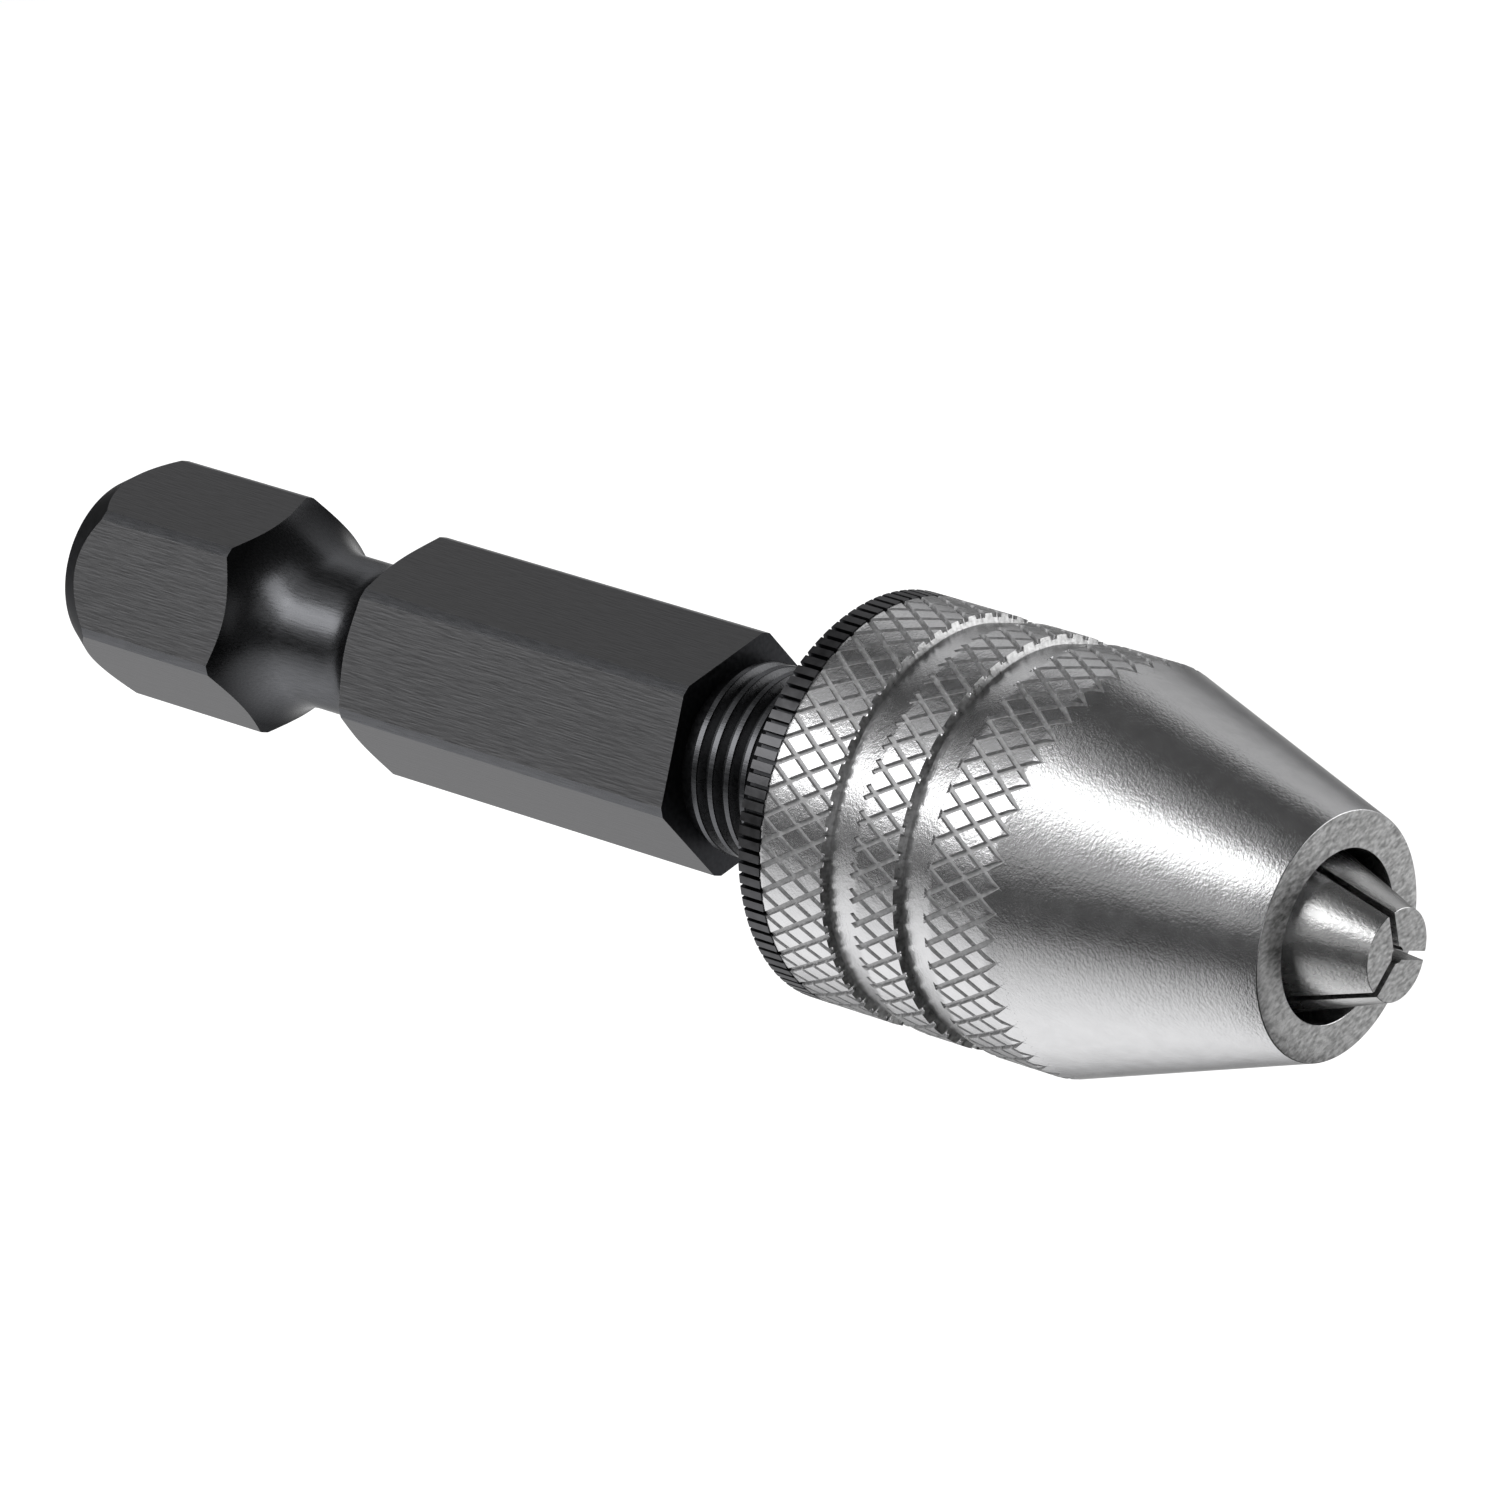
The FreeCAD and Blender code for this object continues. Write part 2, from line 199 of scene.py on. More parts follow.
BORE_EDGE = 0.015 * MM               # chamfer of the hole in the nose
CAVITY_RADIUS = 5.0 * MM
CONE_SLOPE = 0.345                   # radius lost per length on the jaws' cone
NOSE_BORE_START = SLEEVE_FRONT - 1.19 * MM
REAR_CHAMFER = 0.09 * MM             # length of the sleeve's rear chamfer
REAR_CHAMFER_SLOPE = 0.4
SHEET_MARGIN = 0.1                   # cells of spare skin at each end, before it is cut
RAMP_STEPS, CONE_STEPS, NOSE_STEPS = 5, 4, 6


def sleeve_cone(station):
    """Radius of the sleeve's outer cone."""
    share = (station - CONE_START) / (SLEEVE_FRONT - CONE_START)
    return mix(SLEEVE_RADIUS, CONE_END_RADIUS, share)


def knurl_place(point):
    """Counts the grooves of both families at a point of the skin laid flat."""
    past = (point.x - SLEEVE_REAR - KNURL_PLACE) / KNURL_STEP
    return point.y + past, point.y - past


def grip_groove(past_wall):
    """Depth of a grip groove at a distance in front of the top of its steep wall."""
    if past_wall < GRIP_WALL:
        return GRIP_DEPTH * max(0.0, past_wall / GRIP_WALL)
    return GRIP_DEPTH * max(0.0, (GRIP_LENGTH - past_wall) / (GRIP_LENGTH - GRIP_WALL))


def sleeve_blank(station):
    """Radius of the sleeve before it is knurled."""
    radius = SLEEVE_RADIUS - sum(grip_groove(station - wall) for wall in WALL_STATIONS)
    radius -= REAR_CHAMFER_SLOPE * max(0.0, REAR_CHAMFER - (station - SLEEVE_REAR))
    return min(radius, sleeve_cone(station))


def across_groove(count):
    """Share of the full depth at a place counted in grooves."""
    off = abs(count - round(count))
    return clamp((HALF_MOUTH - off) / (HALF_MOUTH - HALF_FLOOR))


def blunt_start(past_start):
    return clamp(1 + past_start / END_WALL)


def knurl_depth(station, u, v):
    """Depth of the knurl's two families of grooves: one at each whole u, one at each whole v."""
    first, second = across_groove(u), across_groove(v)
    if station > WALL_STATIONS[1] + SMALL:
        shown = 1.0 if station > THIRD_BAND - SMALL else 0.0
        return KNURL_DEPTH * shown * max(first, second)
    if station > WALL_STATIONS[0] + SMALL:
        first *= blunt_start(round(u) - SECOND_BAND_CELLS - v)
        second *= blunt_start(u - round(v) - SECOND_BAND_CELLS)
    return KNURL_DEPTH * max(first, second)


def run_out(station):
    """Share of a groove's width and depth that is left where the cone cuts it away."""
    if station > KNURL_TIPS + SMALL:
        return 1.0
    return clamp((KNURL_TIPS - station) / (KNURL_TIPS - CONE_START))


def narrowed(count, share):
    """Moves a place counted in grooves, so that the groove keeps a share of its width."""
    off = count - round(count)
    if abs(off) <= HALF_MOUTH:
        return round(count) + off * share
    past = (abs(off) - HALF_MOUTH) / (0.5 - HALF_MOUTH)
    return round(count) + (1 if off > 0 else -1) * mix(HALF_MOUTH * share, 0.5, past)


def knurl_lines(low, high, blunt):
    """Grid lines from low to high: each groove's walls and floor, and places between."""
    shares = [0, HALF_FLOOR, HALF_MOUTH, 0.3, 0.5, 0.7, 1 - HALF_MOUTH, 1 - HALF_FLOOR]
    shares = sorted(shares + [blunt])
    whole = range(floor(low) - 1, floor(high) + 2)
    return [n + share for n in whole for share in shares if low <= n + share <= high]


def knurled_sheet():
    """The sleeve's skin laid flat: X is the station, and Y counts diamonds around it."""
    mesh = bmesh.new()
    start = SLEEVE_REAR + KNURL_PLACE
    rear = (SLEEVE_REAR - start) / KNURL_STEP - SHEET_MARGIN
    front = (SMOOTH_START - start) / KNURL_STEP + SHEET_MARGIN
    points = {}

    def point(u, v):
        if (u, v) not in points:
            station = start + KNURL_STEP * (u - v) / 2
            points[u, v] = mesh.verts.new((station, (u + v) / 2, 0))
        return points[u, v]

    u_lines = knurl_lines(rear - 1, front + KNURL_CELLS + 1, 0.5 - END_WALL)
    v_lines = knurl_lines(-front - 1, KNURL_CELLS - rear + 1, 0.5 + END_WALL)
    for u1, u2 in zip(u_lines, u_lines[1:]):
        for v1, v2 in zip(v_lines, v_lines[1:]):
            if u2 - v1 < 2 * rear or u1 - v2 > 2 * front:
                continue
            if u2 + v2 < 0 or u1 + v1 > 2 * KNURL_CELLS:
                continue
            mesh.faces.new((point(u1, v1), point(u2, v1), point(u2, v2), point(u1, v2)))
    return mesh


def sleeve_cuts():
    """Stations where the sleeve's skin changes: the chamfer, walls, ramps and the cone."""
    cuts = [SLEEVE_REAR + REAR_CHAMFER, THIRD_BAND - END_WALL * KNURL_STEP, THIRD_BAND]
    past = [0, GRIP_WALL * KNURL_DEPTH / GRIP_DEPTH]
    past += [mix(GRIP_WALL, GRIP_LENGTH, k / RAMP_STEPS) for k in range(RAMP_STEPS + 1)]
    cuts += [wall + step for wall in WALL_STATIONS for step in past]
    cuts += [mix(CONE_START, KNURL_TIPS, k / CONE_STEPS) for k in range(CONE_STEPS + 1)]
    return cuts + [PAST_TIPS]


def cut_sheet():
    """The laid flat skin, cut to size and wherever its shape changes."""
    mesh = knurled_sheet()
    for station in sleeve_cuts():
        cut_across(mesh, station)
    cut_across(mesh, SLEEVE_REAR, keep="over")
    cut_across(mesh, SMOOTH_START, keep="under")
    cut(mesh, (0, 0, 0), (0, 1, 0), keep="over")
    cut(mesh, (0, KNURL_CELLS, 0), (0, 1, 0), keep="under")
    return mesh


def knurled_skin():
    """The sleeve's skin from its rear edge to the smooth cone, open at both ends."""
    mesh = cut_sheet()
    for face in mesh.faces:
        middle = face.calc_center_median()
        grooved = middle.x < KNURL_TIPS and knurl_depth(middle.x, *knurl_place(middle)) > 0
        face.material_index = 1 if grooved and sleeve_blank(middle.x) > KNURL_FLOOR else 0
    for vert in mesh.verts:
        station, place = vert.co.x, vert.co.y
        u, v = knurl_place(vert.co)
        depth, share = knurl_depth(station, u, v), run_out(station)
        if station > CONE_START:
            shift_u, shift_v = narrowed(u, share) - u, narrowed(v, share) - v
            station += KNURL_STEP * (shift_u - shift_v) / 2
            place += (shift_u + shift_v) / 2
            depth = depth * share if vert.co.x < KNURL_TIPS else 0.0
            radius = sleeve_cone(station) - depth
        else:
            radius = min(sleeve_blank(station), SLEEVE_RADIUS - depth)
        vert.co = at(station, radius, TURN * place / KNURL_CELLS)
    bmesh.ops.remove_doubles(mesh, verts=mesh.verts, dist=MERGE)
    return mesh


def nose_and_inside():
    """Points (station, radius) from the knurled skin over the nose and back to the rear."""
    cone = [mix(SMOOTH_START, SLEEVE_FRONT - NOSE_ROUND, k / NOSE_STEPS)
            for k in range(1, NOSE_STEPS + 1)]
    stations = [(station, sleeve_cone(station)) for station in cone]
    edge = sleeve_cone(SLEEVE_FRONT - NOSE_ROUND)
    stations += arc_stations(stations[-1], (SLEEVE_FRONT, edge - NOSE_ROUND), NOSE_BULGE, 4)
    return stations + [
        (SLEEVE_FRONT, mix(edge - NOSE_ROUND, NOSE_BORE + BORE_EDGE, 0.5)),
        (SLEEVE_FRONT, NOSE_BORE + BORE_EDGE),
        (SLEEVE_FRONT - BORE_EDGE, NOSE_BORE),
        (NOSE_BORE_START, NOSE_BORE),
        (NOSE_BORE_START - (CAVITY_RADIUS - NOSE_BORE) / CONE_SLOPE, CAVITY_RADIUS),
        (SLEEVE_REAR, CAVITY_RADIUS),
    ]


def make_sleeve():
    mesh = knurled_skin()
    inner = carry_ring(mesh, open_ring(mesh, SMOOTH_START), nose_and_inside())
    joined = set(inner)
    rear = [vert for vert in open_ring(mesh, SLEEVE_REAR) if vert not in joined]
    join_rings(mesh, inner, rear)
    return finished(mesh, "bright_sleeve", sharp=40)


# ---------------------------------------------------------------------------------------------
# Shank: hexagon, latch groove and threaded stem in one piece

HALF_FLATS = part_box("hex_shank")[1].z
CORNER_RADIUS = 3.575 * MM
REAR_FACE_RADIUS = 2.75 * MM
REAR_CAP_RADIUS = 1.1 * MM           # inside it the rear face is one polygon
REAR_CHAMFER_END = 1.4 * MM
GROOVE_SWEEP = 2.77 * MM             # radius of the groove's rear side
NECK_START, NECK_END = 8.8 * MM, 10.1 * MM
GROOVE_RISE = 1.85 * MM              # radius of the groove's front side
NECK_RADIUS = 2.35 * MM
HEXAGON_FRONT = 24.3 * MM
RELIEF_RADIUS = 2.62 * MM
RELIEF_END = HEXAGON_FRONT + 0.38 * MM
THREAD_RADIUS = 2.87 * MM
THREAD_PITCH = 0.6 * MM
THREAD_DEPTH = 0.26 * MM
STEM_FRONT = WASHER_REAR - 0.02 * MM
STEM_CHAMFER = 0.3 * MM
PILOT_RADIUS = 1.85 * MM
PILOT_FLOOR = 27.5 * MM
PILOT_TIP, PILOT_TIP_RADIUS = 26.5 * MM, 0.05 * MM
SHANK_COLUMNS, GROOVE_STEPS = 240, 14
CREST, SHOULDER, ROOT = 0.14, 0.175, 0.40      # shares of the pitch from the crest's middle
SHOULDER_DROP = 0.03 * MM            # the crest's rounded edges, down to its shoulders
RUN_IN = 0.1 * MM                    # length in which the thread rises out of the relief
PILOT_CHAMFER = 0.1 * MM
FLAT_TURNS = [radians(30 + 60 * k) for k in range(6)]


def thread_profile(share):
    """Radius of the thread at a share of the pitch, which is 0 in the middle of the crest."""
    off = abs(share - round(share))
    if off <= CREST:
        return THREAD_RADIUS
    if off <= SHOULDER:
        return THREAD_RADIUS - SHOULDER_DROP * (off - CREST) / (SHOULDER - CREST)
    if off <= ROOT:
        return mix(THREAD_RADIUS - SHOULDER_DROP, THREAD_RADIUS - THREAD_DEPTH,
                   (off - SHOULDER) / (ROOT - SHOULDER))
    return THREAD_RADIUS - THREAD_DEPTH


def thread_limit(station):
    """The relief behind the thread and the chamfer at its front."""
    rise = max(0.0, (station - RELIEF_END) / RUN_IN)
    run_in = RELIEF_RADIUS + rise * (THREAD_RADIUS - RELIEF_RADIUS)
    return min(run_in, THREAD_RADIUS - max(0.0, station - (STEM_FRONT - STEM_CHAMFER)))


def threaded_stem():
    """The thread's skin, from the relief to the stem's front face, and open at both ends."""
    mesh = bmesh.new()
    shares = [-ROOT, -SHOULDER, -CREST, 0, CREST, SHOULDER, ROOT, 0.5]
    turns = int((STEM_FRONT - RELIEF_END) / THREAD_PITCH) + 3
    lines = [turn + share for turn in range(-1, turns) for share in shares]
    rows = []
    for line in lines:
        row = []
        for k in range(SHANK_COLUMNS + 1):
            station = RELIEF_END + THREAD_PITCH * (line - 1 + k / SHANK_COLUMNS)
            row.append(mesh.verts.new((station, k / SHANK_COLUMNS, 0)))
        rows.append(row)
    for low, high in zip(rows, rows[1:]):
        for k in range(SHANK_COLUMNS):
            mesh.faces.new((low[k], low[k + 1], high[k + 1], high[k]))
    for station in (RELIEF_END + RUN_IN, STEM_FRONT - STEM_CHAMFER):
        cut_across(mesh, station)
    cut_across(mesh, RELIEF_END, keep="over")
    cut_across(mesh, STEM_FRONT, keep="under")
    for vert in mesh.verts:
        station, around = vert.co.x, vert.co.y
        share = (station - RELIEF_END) / THREAD_PITCH - around
        radius = min(thread_profile(share), thread_limit(station))
        vert.co = at(station, radius, TURN * around)
    bmesh.ops.remove_doubles(mesh, verts=mesh.verts, dist=MERGE)
    return mesh


def groove_side(start, sweep, side):
    """One side of the groove: an arc that leaves the neck at start and ends at the corners."""
    reach = acos(1 - (CORNER_RADIUS - NECK_RADIUS) / sweep)
    turns = [reach * k / GROOVE_STEPS for k in range(GROOVE_STEPS + 1)]
    return [(start + side * sweep * sin(turn), NECK_RADIUS + sweep * (1 - cos(turn)))
            for turn in turns]


def cap_ring(mesh, ring):
    mesh.faces.new(ring)


def make_shank():
    mesh = threaded_stem()
    front = open_ring(mesh, STEM_FRONT)
    bottom = carry_ring(mesh, front, [
        (STEM_FRONT, PILOT_RADIUS + PILOT_CHAMFER), (STEM_FRONT - PILOT_CHAMFER, PILOT_RADIUS),
        (PILOT_FLOOR, PILOT_RADIUS), (PILOT_TIP, PILOT_TIP_RADIUS)])
    cap_ring(mesh, bottom)
    rear = open_ring(mesh, RELIEF_END)
    envelope = [(HEXAGON_FRONT, RELIEF_RADIUS), (HEXAGON_FRONT, CORNER_RADIUS)]
    envelope += groove_side(NECK_END, GROOVE_RISE, 1)[::-1]
    envelope += groove_side(NECK_START, GROOVE_SWEEP, -1)
    envelope += [(REAR_CHAMFER_END, CORNER_RADIUS), (0, REAR_FACE_RADIUS), (0, REAR_CAP_RADIUS)]
    cap_ring(mesh, carry_ring(mesh, rear, envelope))
    for turn in FLAT_TURNS:
        normal = at(0, 1, turn)
        made = cut(mesh, normal * HALF_FLATS, normal, keep="under")["geom_cut"]
        rim = [edge for edge in made if isinstance(edge, bmesh.types.BMEdge)]
        bmesh.ops.holes_fill(mesh, edges=rim, sides=0)
    return finished(mesh, "black_shank", sharp=20)


# ---------------------------------------------------------------------------------------------
# Knurled nut

SLOT_COUNT = 100
SLOT_STEP = TURN / SLOT_COUNT
SLOT_DEPTH = 0.24 * MM
SLOT_MOUTH, SLOT_FLOOR = radians(0.62), radians(0.54)      # half angles
RIM_DEPTH = 1.3 * SLOT_DEPTH         # the rim on the nut's rear face that takes the slots' painted shade
NUT_BORE = 2.95 * MM
FLANGE_FRONT = SLEEVE_REAR
TOOTH_CHAMFER = 0.05 * MM
NUT_CHAMFER = 0.3 * MM


def tooth_radius(angle):
    """Radius of the nut's flange at an angle, with a slot at every whole step."""
    off = abs(angle - SLOT_STEP * round(angle / SLOT_STEP))
    share = clamp((off - SLOT_FLOOR) / (SLOT_MOUTH - SLOT_FLOOR))
    return SLEEVE_RADIUS - SLOT_DEPTH * (1 - share)


def tooth_angles():
    """The corners of each slot, and two places on the tooth beside it."""
    places = (-SLOT_MOUTH, -SLOT_FLOOR, SLOT_FLOOR, SLOT_MOUTH, SLOT_STEP * 0.35, SLOT_STEP * 0.65)
    return sorted((SLOT_STEP * k + place) % TURN for k in range(SLOT_COUNT) for place in places)


def make_nut():
    mesh = bmesh.new()

    def edge(angle):
        return min(tooth_radius(angle), SLEEVE_RADIUS - TOOTH_CHAMFER)

    turned(mesh, [
        (NUT_REAR, NUT_BORE + NUT_CHAMFER),
        (NUT_REAR, SLEEVE_RADIUS - RIM_DEPTH),
        (NUT_REAR, edge),
        (NUT_REAR + TOOTH_CHAMFER, tooth_radius),
        (FLANGE_FRONT, tooth_radius),
        (FLANGE_FRONT, CAVITY_RADIUS),
        (NUT_FRONT, CAVITY_RADIUS),
        (NUT_FRONT, NUT_BORE + NUT_CHAMFER),
        (NUT_FRONT - NUT_CHAMFER, NUT_BORE),
        (NUT_REAR + NUT_CHAMFER, NUT_BORE),
    ], tooth_angles())
    return finished(mesh, "slotted_nut", sharp=20)


# ---------------------------------------------------------------------------------------------
# Jaws

JAW_ANGLES = {"jaw_1": radians(30), "jaw_2": radians(150), "jaw_3": radians(270)}
JAW_GAP = 0.25 * MM
JAW_SHIFT = JAW_GAP / sqrt(3)        # from the chuck's axis to the corner of a jaw's sides
GRIP_RADIUS = 0.25 * MM
JAW_BODY_RADIUS = 3.4 * MM
JAW_TIP_RADIUS = 1.361 * MM
JAW_CONE_REAR = JAW_FRONT - (JAW_BODY_RADIUS - JAW_TIP_RADIUS) / CONE_SLOPE
JAW_EDGE = 0.012 * MM                # chamfers
TIP_EDGE = 0.8 * JAW_EDGE
HALF_JAW = pi / 3
SPRING_STATION = 39.8 * MM
SPRING_DISTANCE = 2.2 * MM
POCKET_RADIUS = 0.65 * MM
POCKET_DEPTH = 1.1 * MM
GRIP_STEPS, OUTER_STEPS = 8, 40      # points on a jaw's two arcs
JAW_SHARP = 25                       # degrees between faces that meet in a sharp edge


def jaw_section(radius, inset):
    """Points (along, across) round a jaw: the gripping arc, one side, the outside, the other."""
    reach = (-JAW_SHIFT + sqrt(4 * GRIP_RADIUS ** 2 - 3 * JAW_SHIFT ** 2)) / 2
    grip_turn = atan2(reach * sin(HALF_JAW), JAW_SHIFT + reach * cos(HALF_JAW))
    grip = GRIP_RADIUS + inset
    outer = radius - JAW_SHIFT - inset
    points = []
    for k in range(GRIP_STEPS + 1):
        turn = mix(grip_turn, -grip_turn, k / GRIP_STEPS)
        points.append((grip * cos(turn), grip * sin(turn)))
    for k in range(OUTER_STEPS + 1):
        turn = mix(-HALF_JAW, HALF_JAW, k / OUTER_STEPS)
        points.append((JAW_SHIFT + outer * cos(turn), outer * sin(turn)))
    return points


def pocket_cutter(side):
    """A cylinder that drills one spring pocket, square to a side of the jaw at angle 0."""
    mesh = bmesh.new()
    depth = POCKET_DEPTH + JAW_GAP
    bmesh.ops.create_cone(
        mesh, cap_ends=True, segments=48, radius1=POCKET_RADIUS, radius2=POCKET_RADIUS,
        depth=2 * depth)
    cutter = finished(mesh, "cutter")
    across = at(0, 1, side * (HALF_JAW + pi / 2))
    place = at(SPRING_STATION, SPRING_DISTANCE, side * HALF_JAW)
    place -= across * (depth - POCKET_DEPTH - JAW_GAP / 2)
    turn = across.to_track_quat("Z", "Y").to_matrix().to_4x4()
    cutter.matrix_world = Matrix.Translation(place) @ turn
    return cutter


def apply_modifiers(thing):
    """Replaces an object's mesh by the mesh that its modifiers make."""
    graph = bpy.context.evaluated_depsgraph_get()
    data = bpy.data.meshes.new_from_object(thing.evaluated_get(graph))
    thing.modifiers.clear()
    thing.data = data


def make_jaw(name, angle):
    mesh = bmesh.new()
    outline = [
        (JAW_REAR, JAW_BODY_RADIUS, JAW_EDGE), (JAW_REAR + JAW_EDGE, JAW_BODY_RADIUS, 0),
        (JAW_CONE_REAR, JAW_BODY_RADIUS, 0),
        (JAW_FRONT - JAW_EDGE, JAW_TIP_RADIUS + CONE_SLOPE * JAW_EDGE, 0),
        (JAW_FRONT, JAW_TIP_RADIUS, TIP_EDGE)]
    rings = []
    for station, radius, inset in outline:
        points = jaw_section(radius, inset)
        rings.append([mesh.verts.new((station, along, across)) for along, across in points])
    for first, second in zip(rings, rings[1:]):
        join_rings(mesh, first, second)
    cap_ring(mesh, rings[0])
    cap_ring(mesh, rings[-1])
    jaw = finished(mesh, name + "_steel", sharp=JAW_SHARP)
    cutters = [pocket_cutter(side) for side in (1, -1)]
    for cutter in cutters:
        boolean = jaw.modifiers.new("pocket", "BOOLEAN")
        boolean.object = cutter
        boolean.solver = "EXACT"
    apply_modifiers(jaw)
    for cutter in cutters:
        bpy.data.objects.remove(cutter)
    jaw.data.transform(Matrix.Rotation(angle, 4, "X"))
    jaw.data.shade_smooth()
    jaw.data.set_sharp_from_angle(angle=radians(JAW_SHARP))
    return jaw


# ---------------------------------------------------------------------------------------------
# Materials

PATCHES = 0.3, 0.7                   # noise in a mottled metal's dark and pale patches
PAINTED_SHADE_LEAN = 0.2, 0.75                    # normals along X from which and at which a steep side gets its full painted shade
EDGE_LIKENESS = 0.995, 0.90          # cosines of a flat place and of a sharp edge
RUB_SIZE = 0.5 * MM                  # worn places along the edges
RUB_NOISE = 0.35, 0.6                # noise where an edge is least and most worn
LEAST_RUBBED = 0.2


def feed(tree, shader, inputs):
    """Sets a node's inputs to values, or links them to the sockets that feed them."""
    for name, value in inputs.items():
        if isinstance(value, bpy.types.NodeSocket):
            tree.links.new(value, shader.inputs[name])
        else:
            shader.inputs[name].default_value = value


def node(tree, kind, inputs=None, **settings):
    """Adds a shader node with its inputs and settings."""
    made = tree.nodes.new("ShaderNode" + kind)
    for name, value in settings.items():
        setattr(made, name, value)
    feed(tree, made, inputs or {})
    return made


def new_material(name):
    """A material, its node tree and its shader."""
    material = bpy.data.materials.new(name)
    material.use_nodes = True
    tree = material.node_tree
    return material, tree, tree.nodes["Principled BSDF"]


def arithmetic(tree, operation, first, second=0.0):
    return node(tree, "Math", {0: first, 1: second}, operation=operation).outputs[0]


def remap(tree, value, low, high, to_low, to_high):
    made = node(tree, "MapRange", {
        "Value": value, "From Min": low, "From Max": high, "To Min": to_low, "To Max": to_high})
    return made.outputs["Result"]


def noise(tree, size, stretch=(1, 1, 1), detail=2.0, roughness=0.5):
    """Noise on the object's own coordinates. Its features are size, in metres, times stretch."""
    place = node(tree, "TexCoord").outputs["Object"]
    scale = tuple(1 / (size * part) for part in stretch)
    place = node(tree, "Mapping", {"Vector": place, "Scale": scale}).outputs["Vector"]
    texture = node(tree, "TexNoise", {
        "Vector": place, "Scale": 1.0, "Detail": detail, "Roughness": roughness})
    return texture.outputs["Fac"]


def edge_mask(tree, radius):
    """1 along sharp edges, 0 on flat places."""
    soft = node(tree, "Bevel", {"Radius": radius}, samples=4).outputs["Normal"]
    hard = node(tree, "NewGeometry").outputs["Normal"]
    likeness = node(
        tree, "VectorMath", {0: soft, 1: hard}, operation="DOT_PRODUCT").outputs["Value"]
    return remap(tree, likeness, *EDGE_LIKENESS, 0.0, 1.0)


def steel(name, colour, roughness, edge_tint, bumps, mottle, wear=None, front=None):
    """A metal. Each bump is a height and what noise takes. Mottle is the size and stretch of
    patches, and how much the colour and the roughness change in them. Wear is the radius and
    the brightening of rubbed edges. Front is what is left of the colour on steep sides turned
    towards the nose: painted shade that darkens those sides."""
    material, tree, shader = new_material(name)
    size, stretch, amount, change = mottle
    patches = noise(tree, size, stretch, detail=3)
    shade = remap(tree, patches, *PATCHES, 1 - amount, 1 + amount)
    gloss = remap(tree, patches, *PATCHES, roughness - change, roughness + change)
    if wear:
        radius, brighter = wear
        worn = remap(tree, noise(tree, RUB_SIZE), *RUB_NOISE, LEAST_RUBBED, 1.0)
        rubbed = arithmetic(tree, "MULTIPLY", edge_mask(tree, radius), worn)
        shade = arithmetic(tree, "ADD", shade, arithmetic(tree, "MULTIPLY", rubbed, brighter))
    # painted shade: darkens the colour on steep sides turned towards the nose
    if front:
        facing = node(tree, "TexCoord").outputs["Normal"]
        facing = node(tree, "SeparateXYZ", {"Vector": facing}).outputs["X"]
        shade = arithmetic(tree, "MULTIPLY", shade, remap(tree, facing, *PAINTED_SHADE_LEAN, 1.0, front))
    paint = node(tree, "VectorMath", {0: colour, "Scale": shade}, operation="SCALE")
    feed(tree, shader, {
        "Metallic": 1.0, "Specular Tint": (edge_tint, edge_tint, edge_tint, 1),
        "Base Color": paint.outputs["Vector"], "Roughness": gloss})
    normal = {}
    for height, *arguments in bumps:
        bump = node(tree, "Bump", {
            "Height": noise(tree, *arguments), "Distance": height, "Strength": 1.0, **normal})
        normal = {"Normal": bump.outputs["Normal"]}
    feed(tree, shader, normal)
    return material


